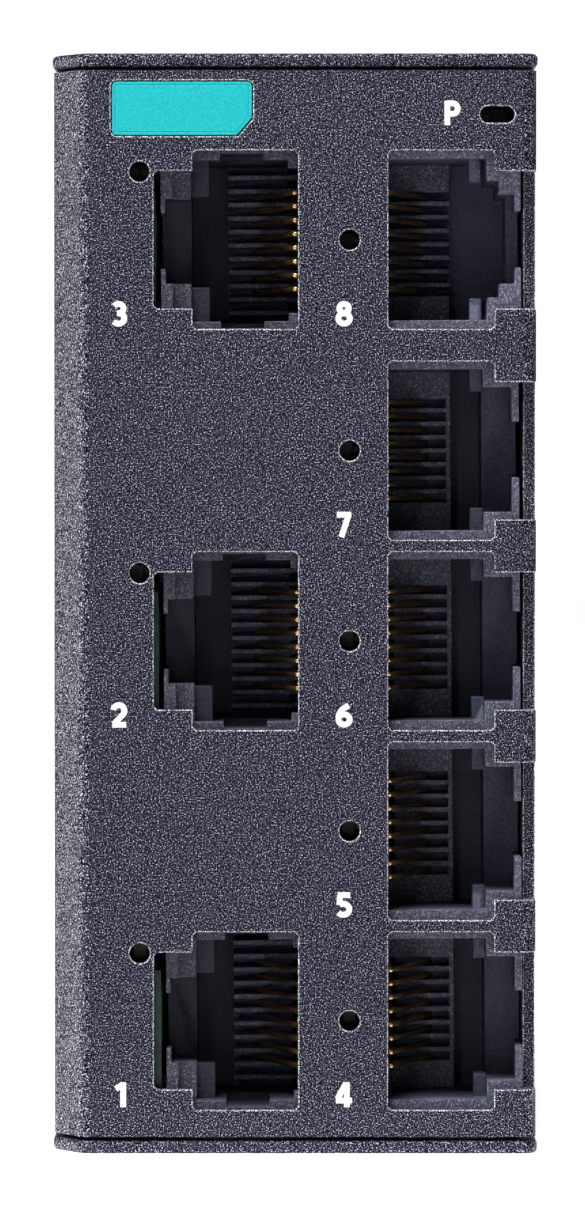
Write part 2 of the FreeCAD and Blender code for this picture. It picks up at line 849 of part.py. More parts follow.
def make_contacts(jack, row):
    """Eight sprung contact wires of one socket."""
    foot = jack.width + jack_standoff if jack.toward_latch < 0 else -jack_standoff
    outline = strip(wire_route(foot), wire_thickness)
    wires = []
    for i in range(contact_count):
        z = row + (i - (contact_count - 1) / 2) * contact_pitch - wire_width / 2
        wires.append(prism([(jack.x(u), front_y + v, z) for u, v in outline], (0, 0, wire_width)))
    return lean(Part.makeCompound(wires))


def make_comb(jack, row):
    """Insert at the back of a socket that keeps its eight wires apart: fins that stand on a plate.
    Where the fins end with the wires, a block fills the rest of the socket's height at each end."""
    far = jack_wall + jack.comb_reach
    start = front_y + comb_start
    back = front_y + cavity_end
    half = cavity_height / 2
    fin = contact_pitch - comb_slot
    over_tails = jack_wall + wire_floor + 2 * wire_thickness
    pieces = [box(jack.x(over_tails), jack.x(far), back - comb_plate, back, row - half, row + half)]
    for i in range(jack.fin_count):
        z = row + (i - (jack.fin_count - 1) / 2) * contact_pitch
        pieces.append(box(jack.x(jack_wall), jack.x(far), start, back, z - fin / 2, z + fin / 2))
    if jack.fin_count < contact_count:
        block = (contact_count * contact_pitch - fin) / 2
        for side in (-1, 1):
            pieces.append(box(jack.x(jack_wall), jack.x(far), start, back, row + side * block,
                              row + side * half))
    if jack.comb_bridge:
        pieces.append(box(jack.x(far - jack.comb_bridge), jack.x(far), start, back, row - half, row + half))
    return lean(fuse(pieces))


def jack_of(port):
    """The kind of socket at a numbered port, and its row."""
    if port in left_rows:
        return single_left, left_rows[port]
    kind = single_right if port == max(right_rows) else ganged_right
    return kind, right_rows[port]


def make_contact_combs():
    return Part.makeCompound([make_comb(*jack_of(port)) for port in range(1, 9)])


def chip(face, toward, depth, z, size):
    """A moulded component on a board's face, with its middle at a depth and a height."""
    length, height, thickness = size
    y = front_y + depth
    body = box(face, face + toward * thickness, y - length / 2, y + length / 2, z - height / 2, z + height / 2)
    return lean(body)


def make_port_leds_left():
    return Part.makeCompound([chip(left_board_back_face, -1, port_led_depth, row + left_led_rise, port_led_size)
                              for row in left_rows.values()])


def make_port_leds_right():
    return Part.makeCompound([chip(right_board_back_face, -1, port_led_depth, row, port_led_size)
                              for row in right_rows.values()])


def make_power_led():
    return chip(right_board_face, 1, guide_depth, power_slot_z, power_led_size)


def make_power_light_guide():
    """Clear bar that carries the light from the board to the slot in the panel."""
    half = guide_width / 2
    start = power_slot_x - power_slot_width / 2 + guide_slot_gap
    end = power_slot_x + power_slot_width / 2 - guide_slot_gap
    corners = [(right_board_face, guide_y - half), (start, guide_y - half), (start, guide_end_y),
               (end, guide_end_y), (end, guide_y + half - guide_chamfer),
               (end - guide_chamfer, guide_y + half), (right_board_face, guide_y + half)]
    low = power_slot_z - guide_height / 2
    bar = prism([(x, y, low) for x, y in corners], (0, 0, guide_height))
    lamp_half = power_led_size[0] / 2 + guide_lamp_gap
    pocket = box(right_board_face - 1, right_board_face + power_led_size[2] + guide_lamp_gap,
                 guide_y - lamp_half, guide_y + lamp_half, low - 1, low + guide_height + 1)
    return lean(bar.cut(pocket))


def make_transformers_left():
    return Part.makeCompound([chip(left_board_face, 1, transformer_depth, row, transformer_size)
                              for row in left_rows.values()])


def make_transformers_right():
    return Part.makeCompound([chip(right_board_face, 1, transformer_depth, row, transformer_size)
                              for row in right_rows.values()])


def make_switch_chip():
    return chip(right_board_face, 1, switch_chip_depth, switch_chip_z, switch_chip_size)


def make_crystal():
    return chip(right_board_face, 1, switch_chip_depth, crystal_z, crystal_size)


def make_power_inductor():
    body = chip(left_board_face, 1, supply_depth, inductor_z, inductor_size)
    return body.makeFillet(inductor_corner, edges_along(body, (1, 0, 0)))


def make_power_converter():
    return chip(left_board_face, 1, supply_depth, converter_z, converter_size)


def make_fuse():
    return chip(left_board_face, 1, fuse_depth, fuse_z, fuse_size)


def make_capacitor():
    """Round capacitor that stands on the left board."""
    foot = (left_board_face, capacitor_y, capacitor_z)
    return lean(cylinder(capacitor_radius, foot, (1, 0, 0), capacitor_length))


def link_places():
    return [link_y + (i - (link_pin_count - 1) / 2) * link_pitch for i in range(link_pin_count)]


def make_link_socket():
    """Socket strip on the left board that takes the pins of the right one."""
    half = link_pin_count * link_pitch / 2
    top = left_board_face + link_socket_height
    body = box(left_board_face, top, link_y - half, link_y + half, link_z - link_width / 2,
               link_z + link_width / 2)
    hole = link_pin_hole / 2
    holes = [box(top + 1, top - link_pin_depth, y - hole, y + hole, link_z - hole, link_z + hole)
             for y in link_places()]
    return lean(cut(body, holes))


def make_link_base():
    """Plastic strip that carries the pins on the right board."""
    half = link_pin_count * link_pitch / 2
    near = right_board_back_face
    body = box(near, near - link_base_height, link_y - half, link_y + half, link_z - link_width / 2,
               link_z + link_width / 2)
    hole = link_pin / 2
    holes = [box(near + 1, near - link_base_height - 1, y - hole, y + hole, link_z - hole, link_z + hole)
             for y in link_places()]
    return lean(cut(body, holes))


def make_link_pins():
    half = link_pin / 2
    tip = left_board_face + link_socket_height - link_pin_depth + link_pin_gap
    pins = [box(right_board_back_face, tip, y - half, y + half, link_z - half, link_z + half)
            for y in link_places()]
    return lean(Part.makeCompound(pins))


def pole_places():
    return [connector_y + (i - (pole_count - 1) / 2) * pole_pitch for i in range(pole_count)]


def make_terminal_header():
    """Shroud on the left board, open at the top, that the power plug drops into."""
    inner_w = plug_width / 2 + plug_fit
    inner_l = plug_length / 2 + plug_fit
    top = top_inner_z - header_top_gap
    outer = box(connector_x - inner_w - header_wall, connector_x + inner_w + header_wall,
                connector_y - inner_l - header_wall, connector_y + inner_l + header_wall,
                header_floor_bottom, top)
    tools = [box(connector_x - inner_w, connector_x + inner_w, connector_y - inner_l, connector_y + inner_l,
                 header_floor_top, top + 1)]
    half = pin_size / 2
    for y in pole_places():
        tools.append(box(connector_x - half, connector_x + half, y - half, y + half, header_floor_bottom - 1,
                         header_floor_top + 1))
    return lean(cut(outer, tools))


def make_header_pins():
    """Bent pins: up through the header's floor, and across into the left board."""
    half = pin_size / 2
    level = header_floor_bottom - pin_fit
    pins = []
    for y in pole_places():
        upright = box(connector_x - half, connector_x + half, y - half, y + half, level - pin_size, pin_tip)
        leg = box(connector_x - half, left_board_back_face - pin_tail, y - half, y + half, level - pin_size,
                  level)
        pins.append(fuse([upright, leg]))
    return lean(Part.makeCompound(pins))


def make_terminal_plug():
    """Plug with a screw and a wire entry for each contact in its top, and sockets for the pins below."""
    body = box(connector_x - plug_width / 2, connector_x + plug_width / 2, connector_y - plug_length / 2,
               connector_y + plug_length / 2, plug_bottom, plug_top)
    body = body.makeChamfer(plug_chamfer, upper_edges(body, (0, 1, 0), housing_height))
    tools = []
    for y in pole_places():
        screw_foot = (connector_x + screw_row, y, clamp_top)
        entry_x = connector_x + entry_row
        half = wire_entry / 2
        tools.append(cylinder(terminal_head_radius + terminal_head_gap, screw_foot, (0, 0, 1), clamp_drop + 1))
        tools.append(box(entry_x - half, entry_x + half, y - half, y + half, clamp_top, plug_top + 1))
        tools.append(clamp_block(y))
        tools.append(clamp_fork(y, plug_bottom - 1))
    return lean(cut(body, tools))


def clamp_block(y):
    """The clamp of one contact, which fills its room in the plug."""
    half_width = plug_width / 2 - clamp_wall
    return box(connector_x - half_width, connector_x + half_width, y - clamp_width / 2, y + clamp_width / 2,
               clamp_bottom, clamp_top)


def clamp_fork(y, bottom):
    """The forked socket under one clamp, from a given height up."""
    return box(connector_x - fork_width / 2, connector_x + fork_width / 2, y - fork_thickness / 2,
               y + fork_thickness / 2, bottom, clamp_bottom)


def make_plug_contacts():
    """In each place a clamp block under the screw and wire entry, with a forked socket for the pin."""
    pieces = []
    for y in pole_places():
        slot_half = pin_size / 2 + fork_grip
        slot = box(connector_x - fork_width, connector_x + fork_width, y - slot_half, y + slot_half,
                   plug_bottom - 1, pin_tip + fork_tip_room)
        pieces.append(fuse([clamp_block(y), clamp_fork(y, clamp_bottom - fork_length)]).cut(slot))
    return lean(Part.makeCompound(pieces))


def make_terminal_screw(index):
    """Slotted screw that closes one clamp, sunk a little below the plug's top."""
    x = connector_x + screw_row
    y = pole_places()[index]
    top = plug_top - terminal_head_recess
    head = cylinder(terminal_head_radius, (x, y, top), (0, 0, -1), terminal_head_height)
    shank = cylinder(terminal_screw_radius, (x, y, top), (0, 0, -1), top - clamp_top - screw_tip_gap)
    slot_half = terminal_slot_width / 2
    slot = box(x - terminal_head_radius - 1, x + terminal_head_radius + 1, y - slot_half, y + slot_half,
               top - terminal_slot_depth, top + 1)
    return lean(fuse([head, shank]).cut(slot))


def dip_places():
    return [dip_y + (i - (dip_count - 1) / 2) * dip_pitch for i in range(dip_count)]


def make_dip_base():
    """Body of the slide switch, with one slot to each slider."""
    body = box(right_board_face, right_board_face + dip_width, dip_y - dip_length / 2, dip_y + dip_length / 2,
               dip_top - dip_height, dip_top)
    middle = right_board_face + dip_width / 2
    tools = [box(middle - dip_slot_length / 2, middle + dip_slot_length / 2, y - dip_slot_width / 2,
                 y + dip_slot_width / 2, dip_top - dip_slot_depth, dip_top + 1) for y in dip_places()]
    return lean(cut(body, tools))


def make_dip_slider(index):
    """Slider knob at the left end of its slot."""
    start = right_board_face + dip_width / 2 - dip_slot_length / 2 + knob_end_gap
    y = dip_places()[index]
    half = dip_slot_width / 2 - knob_fit
    bottom = dip_top - dip_slot_depth + knob_fit
    foot = box(start, start + knob_length, y - half, y + half, bottom, bottom + knob_height)
    foot = foot.makeChamfer(knob_chamfer, upper_edges(foot, (0, 1, 0), bottom + knob_height / 2))
    return lean(foot)


def bracket_tab(side, grow):
    """Tab that keys the bracket into the housing's back, or the slot for it."""
    x = side * bracket_tab_x
    half_width = bracket_tab_width / 2 + grow
    half_height = bracket_tab_height / 2 + grow
    return box(x - half_width, x + half_width, rear_inner_y, back_y, bracket_tab_z - half_height,
               bracket_tab_z + half_height)


def rail_edge(side):
    """Height of the rail's upper or lower edge."""
    return rail_centre_z + side * rail_width / 2


def make_din_bracket():
    """Moulded bracket on the back: fixed hook over the rail's upper edge, a channel for the latch and
    two tabs that key it into the housing."""
    half = bracket_width / 2
    hook_back = bracket_face + rail_slot + hook_thickness
    hook_top = bracket_top - hook_top_drop
    upper = rail_edge(1) + rail_edge_gap
    base = box(-half, half, back_y, bracket_face, bracket_bottom, bracket_top)
    base = base.makeChamfer(bracket_corner, edges_along(base, (0, 1, 0)))
    lip = upper - hook_reach
    hook_corners = [(bracket_face - 1, upper), (bracket_face + rail_slot, upper),
                    (bracket_face + rail_slot, lip), (hook_back - hook_nose, lip - hook_nose_reach),
                    (hook_back, lip + hook_nose_rise), (hook_back, hook_top - hook_chamfer),
                    (hook_back - hook_chamfer, hook_top), (bracket_face - 1, hook_top)]
    hook = prism([(-half + hook_inset, y, z) for y, z in hook_corners], (bracket_width - 2 * hook_inset, 0, 0))
    gap = latch_width / 2 + latch_side_gap
    channel_depth = latch_thickness + 2 * latch_face_gap
    channel = box(-gap, gap, back_y - 1, back_y + channel_depth, bracket_bottom - 1,
                  latch_top + latch_side_gap)
    hook_gap = latch_hook_width / 2 + latch_side_gap
    hook_slot = box(-hook_gap, hook_gap, back_y + 1, bracket_face + 1, bracket_bottom - 1,
                    rail_edge(-1) + latch_side_gap)
    seat_half = spring_window_width / 2 - seat_side_gap
    seat = box(-seat_half, seat_half, latch_near, bracket_face - seat_end_gap,
               spring_seat_z - spring_seat_height, spring_seat_z)
    body = cut(fuse([base, hook]), [channel, hook_slot])
    body = fuse([body, seat] + [bracket_tab(side, 0) for side in (-1, 1)])
    hole = cylinder(thread_radius + thread_clearance, (0, back_y - 1, bracket_screw_z), (0, 1, 0),
                    bracket_thickness + 2)
    head_seat = (0, bracket_face - bracket_head_height, bracket_screw_z)
    head_room = cylinder(bracket_head_radius + bracket_head_gap, head_seat, (0, 1, 0), bracket_head_height + 1)
    return cut(body, [hole, head_room])


def make_din_bracket_screw():
    """Screw with its head sunk in the bracket's face, into the housing's back."""
    start = (0, bracket_face - bracket_head_height, bracket_screw_z)
    return pan_screw(start, (0, 1, 0), bracket_head_radius, bracket_head_height, thread_radius,
                     bracket_screw_length - bracket_head_height)


def make_din_latch():
    """Sliding latch: hook under the rail's lower edge, spring window above, pull tab below."""
    half = latch_width / 2
    lower = rail_edge(-1) - rail_edge_gap
    hook_back = bracket_face + rail_slot + hook_thickness
    plate = box(-half, half, latch_near, latch_far, latch_bottom, latch_top)
    plate = plate.makeChamfer(latch_corner, edges_along(plate, (0, 1, 0)))
    slot_front = bracket_face + rail_slot
    hook_bottom = lower - latch_hook_height
    lip = lower + hook_reach
    hook_corners = [(latch_far - 1, hook_bottom), (hook_back - latch_hook_slope, hook_bottom),
                    (hook_back, lower - latch_hook_edge), (slot_front + hook_nose_reach, lip),
                    (slot_front, lip - hook_nose_rise), (slot_front, lower), (latch_far - 1, lower)]
    hook = prism([(-latch_hook_width / 2, y, z) for y, z in hook_corners], (latch_hook_width, 0, 0))
    body = fuse([plate, hook])
    window_half = spring_window_width / 2
    window = box(-window_half, window_half, latch_near - 1, latch_far + 1,
                 spring_seat_z - spring_seat_height - spring_seat_gap, spring_seat_z + spring_length)
    pull_bottom = latch_bottom + pull_hole_rise
    pull = box(-pull_hole_width / 2, pull_hole_width / 2, latch_near - 1, latch_far + 1, pull_bottom,
               pull_bottom + pull_hole_height)
    return cut(body, [window, pull])


def make_latch_spring():
    """Compression spring between the bracket's seat and the top of the latch's window, as a coil
    of square wire in straight steps."""
    half = spring_wire / 2
    rise = spring_length - spring_wire - 2 * spring_end_gap
    middle = (latch_near + latch_far) / 2
    steps = round(spring_turns * spring_steps)
    rings = []
    for i in range(steps + 1):
        angle = 2 * math.pi * i / spring_steps
        z = spring_seat_z + spring_end_gap + half + rise * i / steps
        ring = []
        for across, up in ((-half, -half), (half, -half), (half, half), (-half, half)):
            radius = spring_radius + across
            ring.append(Vector(radius * math.cos(angle), middle + radius * math.sin(angle), z + up))
        rings.append(ring)
    faces = [flat_face(rings[0]), flat_face(rings[-1])]
    for lower, upper in zip(rings, rings[1:]):
        for i in range(4):
            j = (i + 1) % 4
            faces.append(flat_face([lower[i], lower[j], upper[j]]))
            faces.append(flat_face([lower[i], upper[j], upper[i]]))
    shell = Part.Shell(faces)
    solid = Part.Solid(shell)
    return solid if solid.Volume > 0 else Part.Solid(shell.reversed())


def flat_face(corners):
    return Part.Face(Part.makePolygon(corners + corners[:1]))


def export(name, shape):
    os.makedirs("parts", exist_ok=True)
    shape.exportStep(os.path.join("parts", name + ".step"))


def main():
    pieces = {
        "front_housing": make_front_housing(),
        "rear_cover": make_rear_cover(),
        "front_label": make_front_label(),
        "housing_screws": make_housing_screws(),
        "ground_screw": make_ground_screw(),
        "ground_nut": make_ground_nut(),
        "wall_standoffs": make_wall_standoffs(),
        "left_board": make_left_board(),
        "right_board": make_right_board(),
        "board_spacers": make_board_spacers(),
        "board_screws": make_board_screws(),
        "link_socket": make_link_socket(),
        "link_base": make_link_base(),
        "link_pins": make_link_pins(),
        "contact_combs": make_contact_combs(),
        "port_leds_left": make_port_leds_left(),
        "port_leds_right": make_port_leds_right(),
        "power_led": make_power_led(),
        "power_light_guide": make_power_light_guide(),
        "transformers_left": make_transformers_left(),
        "transformers_right": make_transformers_right(),
        "switch_chip": make_switch_chip(),
        "crystal": make_crystal(),
        "power_inductor": make_power_inductor(),
        "power_converter": make_power_converter(),
        "fuse": make_fuse(),
        "capacitor": make_capacitor(),
        "terminal_header": make_terminal_header(),
        "header_pins": make_header_pins(),
        "terminal_plug": make_terminal_plug(),
        "plug_contacts": make_plug_contacts(),
        "dip_base": make_dip_base(),
        "din_bracket": make_din_bracket(),
        "din_bracket_screw": make_din_bracket_screw(),
        "din_latch": make_din_latch(),
        "latch_spring": make_latch_spring(),
    }
    for port, row in left_rows.items():
        pieces["jack_port_%d" % port] = make_left_jack(row)
    pieces["jack_port_8"] = make_right_jack(single_right, [right_rows[8]])
    pieces["jack_ports_4_to_7"] = make_right_jack(ganged_right, [right_rows[port] for port in (4, 5, 6, 7)])
    for port in range(1, 9):
        pieces["contacts_port_%d" % port] = make_contacts(*jack_of(port))
    for index in range(pole_count):
        pieces["terminal_screw_%d" % (index + 1)] = make_terminal_screw(index)
    for index in range(2):
        pieces["dip_slider_%d" % (index + 1)] = make_dip_slider(index)
    for name, shape in pieces.items():
        export(name, shape)
        print(name, len(shape.Solids), round(shape.Volume, 2), shape.isValid())


main()
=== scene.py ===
# An eight-port network switch for a DIN rail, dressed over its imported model.
# Sizes are given in millimetres through MM and everything is placed in the model's own frame:
# X to the right seen from the front, Y back from the front panel, Z up from the underside.
import json
import math

import bmesh
import bpy
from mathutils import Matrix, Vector


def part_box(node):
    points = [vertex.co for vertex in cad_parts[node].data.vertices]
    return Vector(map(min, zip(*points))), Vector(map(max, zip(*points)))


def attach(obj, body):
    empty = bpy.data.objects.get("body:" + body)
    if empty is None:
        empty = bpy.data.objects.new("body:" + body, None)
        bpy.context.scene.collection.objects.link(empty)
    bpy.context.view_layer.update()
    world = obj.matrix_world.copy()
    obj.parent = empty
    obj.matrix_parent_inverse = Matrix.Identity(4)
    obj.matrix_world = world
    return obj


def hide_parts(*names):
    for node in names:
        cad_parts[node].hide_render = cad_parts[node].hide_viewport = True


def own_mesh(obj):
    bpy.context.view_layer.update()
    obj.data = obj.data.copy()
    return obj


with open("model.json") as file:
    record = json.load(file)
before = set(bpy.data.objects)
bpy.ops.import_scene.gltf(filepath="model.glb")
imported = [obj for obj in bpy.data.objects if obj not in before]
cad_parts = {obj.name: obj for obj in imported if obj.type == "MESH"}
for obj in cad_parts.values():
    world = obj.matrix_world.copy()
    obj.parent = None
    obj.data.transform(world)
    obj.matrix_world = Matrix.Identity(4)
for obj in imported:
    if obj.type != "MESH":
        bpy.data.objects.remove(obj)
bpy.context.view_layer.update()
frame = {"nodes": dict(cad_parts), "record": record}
NODE_SLOT = {part["node"]: part["material_slot"] for part in frame["record"]["subparts"]}
NODE_BODY = {node: body for body, nodes in frame["record"]["behaviour"]["bodies"].items() for node in nodes}

MM = 0.001

# The front panel, and how far the boards and sockets lean against it
FRONT_Y = -32.5
LEAN = 0.006632
LEAN_HEIGHT = 40.5

# Heights of the ports' middles in the left and the right column
LEFT_ROWS = {1: 9.8, 2: 37.8, 3: 67.3}
RIGHT_ROWS = {4: 9.8, 5: 23.8, 6: 37.8, 7: 51.8, 8: 67.3}

# Contact wires, with distances u from a socket's contact side and v from the front panel
LEFT_CONTACT_SIDE = 1.22
LEFT_WIRE_FOOT = 11.15
RIGHT_CONTACT_SIDE = 5.9
RIGHT_WIRE_FOOT = -0.25
WIRE_COUNT = 8
WIRE_PITCH = 1.016
WIRE_WIDTH = 0.44
WIRE_THICKNESS = 0.3
WIRE_EDGE_CUT = 0.05
WIRE_FLOOR = 0.95
WIRE_BACK = 13.8
WIRE_FRONT = 2.1
WIRE_TIP = (4.05, 10.9)
WIRE_BEND = 0.25

# The latch's spring
SPRING_WIRE = 0.5
SPRING_RADIUS = 1.45
SPRING_TURNS = 6.5
STEPS_PER_TURN = 16

# The teal plate: the border round its face, and the width and depth of the groove inside it
LABEL_BORDER = 0.17
LABEL_GROOVE = 0.05

# Printed port numbers: a digit's height, where each column stands, and how far below its port's middle
DIGIT_HEIGHT = 1.84
DIGIT_LEFT_X = -12.9
DIGIT_RIGHT_X = 3.64
DIGIT_DROP = 5.43

# The letter beside the power lamp's slot, with its middle in x and z
POWER_LETTER_HEIGHT = 1.8
POWER_LETTER_PLACE = (11.6, 76.6)

# Printing ink: each stroke of a character stands a step prouder than the one before
INK_THICKNESS = 0.02
INK_STEP = 0.002

# Strokes in a frame one unit high: width, degrees from point to point of an arc, how near the ends of a
# closed stroke are, and the least cosine that a mitred corner is worked out with
STROKE_WIDTH = 0.235
ARC_STEP = 15
CLOSED_GAP = 1e-6
LEAST_MITRE = 0.5

# A node's triangles: which points are one, which faces are one, and which points lie in an end or face
WELD_DISTANCE = 0.002
FLAT_ANGLE = 1.0
END_ZONE = 0.01
FACE_ZONE = 0.001

# Edges that turn more than this many degrees are rounded where they point outwards
SHARP_ANGLE = 34.0

# Depths behind the front panel between which one finish goes over into another: painted shade deeper in the
# sockets, painted light deeper in the combs, and on the gold wires a painted highlight at the front bends
# giving way to painted shade
SOCKET_PAINTED_SHADE_DEPTHS = (2.4, 3.2)
COMB_PAINTED_LIGHT_DEPTHS = (10.2, 11.6)
GOLD_PAINTED_HIGHLIGHT_DEPTHS = (2.7, 4.4)

# The photograph's camera, as a real distance and height, and how far it sees in metres
CAMERA_DISTANCE = 450.0
CAMERA_HEIGHT = 49.0
CAMERA_SIDE = -0.15
CAMERA_AIM = 40.2
CAMERA_LENS = 181.0
CAMERA_SENSOR = 36.0
CAMERA_REACH = 20.0

# The paper, in metres: how far it reaches, how high it rises behind and how softly it bends there
PAPER_REACH = 5.0
PAPER_RISE = 3.0
PAPER_BEND = 0.8
PAPER_BEND_STEPS = 16

# The paper's glow, in metres: where it starts and is full behind the switch, between which distances to
# the side it fades, and how much wider it gets with each metre back
GLOW_STRENGTH = 0.9
GLOW_START = (-0.045, -0.03)
GLOW_FADE = (0.06, 0.26)
GLOW_WIDENING = 0.11

# Light from all round
ROOM_COLOUR = (0.9, 0.93, 1.0, 1)
ROOM_STRENGTH = 0.04

# Lamps: name, place and aim in metres, size, power, and whether matt surfaces catch their light too
LAMPS = (
    ("left_softbox", (-0.85, -0.24, 0.22), (0, -0.03, 0.04), 0.25, 1.2, True),
    ("front_lamp", (-0.2, -0.95, 0.35), (0, -0.03, 0.04), 0.07, 0.33, True),
    ("top_softbox", (-0.12, -0.33, 0.75), (0, 0, 0.04), 0.3, 8.5, True),
    ("edge_softbox", (-0.86, 0.20, 0.06), (-0.02, -0.03, 0.04), 0.15, 5.0, False),
    ("bend_softbox", (-0.90, -0.08, 0.06), (-0.02, -0.03, 0.04), 0.12, 5.0, False),
)


class Finish:
    """A material's node tree, with short calls for the nodes that the finishes share."""

    def __init__(self, name):
        self.material = bpy.data.materials.new(name)
        self.material.use_nodes = True
        self.tree = self.material.node_tree
        self.shader = self.tree.nodes["Principled BSDF"]
        self.place = self.tree.nodes.new("ShaderNodeTexCoord").outputs["Object"]

    def add(self, kind, **settings):
        """A new node of a kind, with its settings."""
        node = self.tree.nodes.new(kind)
        for key, value in settings.items():
            setattr(node, key, value)
        return node

    def link(self, source, target):
        self.tree.links.new(source, target)

    def set(self, **values):
        """Values that are the same all over the surface, by the names of the shader's sockets."""
        for key, value in values.items():
            self.shader.inputs[key.replace("_", " ")].default_value = value

    def scaled(self, size):
        """The piece's own coordinates, counted in steps of a size in millimetres."""
        node = self.add("ShaderNodeMapping")
        node.inputs["Scale"].default_value = [1 / (size * MM)] * 3
        self.link(self.place, node.inputs["Vector"])
        return node.outputs["Vector"]

    def along(self, axis):
        """The piece's own coordinate on one axis, in metres."""
        node = self.add("ShaderNodeSeparateXYZ")
        self.link(self.place, node.inputs["Vector"])
        return node.outputs[axis]

    def noise(self, size, detail=2.0, roughness=0.5):
        """Noise whose grain is about size across, in millimetres."""
        place = self.scaled(size)
        node = self.add("ShaderNodeTexNoise")
        node.inputs["Scale"].default_value = 1.0
        node.inputs["Detail"].default_value = detail
        node.inputs["Roughness"].default_value = roughness
        self.link(place, node.inputs["Vector"])
        return node.outputs["Fac"]

    def cell_edges(self, size):
        """The distance from the edges of cells that are about size across, in millimetres."""
        place = self.scaled(size)
        node = self.add("ShaderNodeTexVoronoi", feature="DISTANCE_TO_EDGE")
        node.inputs["Scale"].default_value = 1.0
        self.link(place, node.inputs["Vector"])
        return node.outputs["Distance"]

    def span(self, source, start, end, low, high, **settings):
        """Goes from low to high while the source goes from start to end, and no further."""
        node = self.add("ShaderNodeMapRange", **settings)
        for name, value in (("From Min", start), ("From Max", end), ("To Min", low), ("To Max", high)):
            node.inputs[name].default_value = value
        self.link(source, node.inputs["Value"])
        return node.outputs["Result"]

    def behind_panel(self, start, end):
        """A factor that goes from 0 to 1 between two depths behind the front panel, in millimetres."""
        return self.span(self.along("Y"), (FRONT_Y + start) * MM, (FRONT_Y + end) * MM, 0.0, 1.0)

    def ramp(self, source, stops):
        """A colour ramp. Stops are pairs of place and colour, or of place and grey level."""
        node = self.add("ShaderNodeValToRGB")
        elements = node.color_ramp.elements
        while len(elements) < len(stops):
            elements.new(0.5)
        for element, (place, colour) in zip(elements, stops):
            element.position = place
            element.color = (colour, colour, colour, 1) if isinstance(colour, float) else (*colour, 1)
        self.link(source, node.inputs["Fac"])
        return node.outputs["Color"]

    def colour(self, source, stops):
        """The surface's colour, from a ramp."""
        self.link(self.ramp(source, stops), self.shader.inputs["Base Color"])

    def two_colours(self, factor, first, second):
        """The first colour where the factor is 0, the second where it is 1."""
        mix = self.add("ShaderNodeMix", data_type="RGBA")
        self.link(factor, mix.inputs["Factor"])
        self.link(first, mix.inputs["A"])
        self.link(second, mix.inputs["B"])
        self.link(mix.outputs["Result"], self.shader.inputs["Base Color"])

    def roughness(self, source, low, high):
        """The surface's roughness, between two values."""
        self.link(self.span(source, 0.0, 1.0, low, high), self.shader.inputs["Roughness"])

    def bump(self, *layers):
        """Bump from pairs of height source and height in millimetres, one on another."""
        normal = None
        for source, height in layers:
            node = self.add("ShaderNodeBump")
            node.inputs["Distance"].default_value = height * MM
            self.link(source, node.inputs["Height"])
            if normal is not None:
                self.link(normal, node.inputs["Normal"])
            normal = node.outputs["Normal"]
        self.link(normal, self.shader.inputs["Normal"])


def tones(dark, pale):
    """Stops of a ramp that is dark where a noise is low and pale where it is high."""
    return [(0.3, dark), (0.7, pale)]


def coat_with_painted_glints(name, stops):
    """Dark violet-grey powder coat with a sharp sandy grain. The pale tops of the grain are painted glints
    in its colour, and they also catch the real light through the specular.
    """
    f = Finish(name)
    grain = f.noise(0.1, detail=1.0)
    peel = f.noise(0.24)
    f.colour(grain, stops)
    f.link(f.ramp(grain, [(0.44, 0.0), (0.64, 0.8)]), f.shader.inputs["Specular IOR Level"])
    f.roughness(peel, 0.24, 0.42)
    f.bump((grain, 0.06), (peel, 0.14))
    return f.material


def nylon_painted_by_depth(name, depths, painted_outer_light, painted_inner_light):
    """Black glass-filled nylon with pale specks on its outer faces. Further in it has fewer pale specks and
    another
    brightness: painted shade in the sockets, where it is darker, and painted light in the combs, where it
    is paler.
    One goes over into the other between the two depths behind the panel. The gains are painted light that
    brightens either."""
    f = Finish(name)
    mottle = f.noise(0.12, detail=3.0, roughness=0.6)
    outer = f.ramp(mottle, [(place, Vector(colour) * painted_outer_light) for place, colour in (
        (0.3, (0.030, 0.029, 0.050)), (0.5, (0.060, 0.058, 0.088)), (0.62, (0.16, 0.16, 0.22)),
        (0.75, (0.45, 0.45, 0.54)))])
    inner = f.ramp(mottle, [(place, Vector(colour) * painted_inner_light) for place, colour in (
        (0.3, (0.022, 0.024, 0.042)), (0.5, (0.040, 0.043, 0.072)), (0.7, (0.080, 0.085, 0.130)))])
    f.two_colours(f.behind_panel(*depths), outer, inner)
    f.set(Specular_IOR_Level=0.3)
    f.roughness(mottle, 0.38, 0.55)
    f.bump((mottle, 0.04))
    return f.material


def gold_painted_by_depth():
    """Contact wires of gold, paler at their front bends as a painted highlight and painted brown further in
    as painted shade.
    """
    f = Finish("gold_painted_by_depth")
    shade = f.noise(1.5)
    f.set(Metallic=1.0)
    painted_lit_gold = f.ramp(shade, tones((0.88, 0.54, 0.18), (1.0, 0.72, 0.34)))
    painted_shaded_gold = f.ramp(shade, tones((0.42, 0.21, 0.06), (0.62, 0.35, 0.11)))
    f.two_colours(f.behind_panel(*GOLD_PAINTED_HIGHLIGHT_DEPTHS), painted_lit_gold, painted_shaded_gold)
    f.roughness(shade, 0.3, 0.38)
    return f.material


def teal_plastic():
    """The inset plate: satin teal with a fine pebble."""
    f = Finish("teal_plastic")
    pebble = f.noise(0.14)
    f.colour(pebble, tones((0.004, 0.42, 0.46), (0.009, 0.60, 0.65)))
    f.roughness(pebble, 0.34, 0.5)
    f.bump((pebble, 0.012))
    return f.material


def plated_steel(name, dark, pale, rough):
    """Plated metal with a little mottling and a fine uneven polish."""
    f = Finish(name)
    mottle = f.noise(0.8, detail=3.0)
    f.set(Metallic=1.0)
    f.colour(mottle, tones(dark, pale))
    f.roughness(f.noise(0.15), rough - 0.08, rough + 0.1)
    f.bump((f.noise(0.12), 0.003))
    return f.material


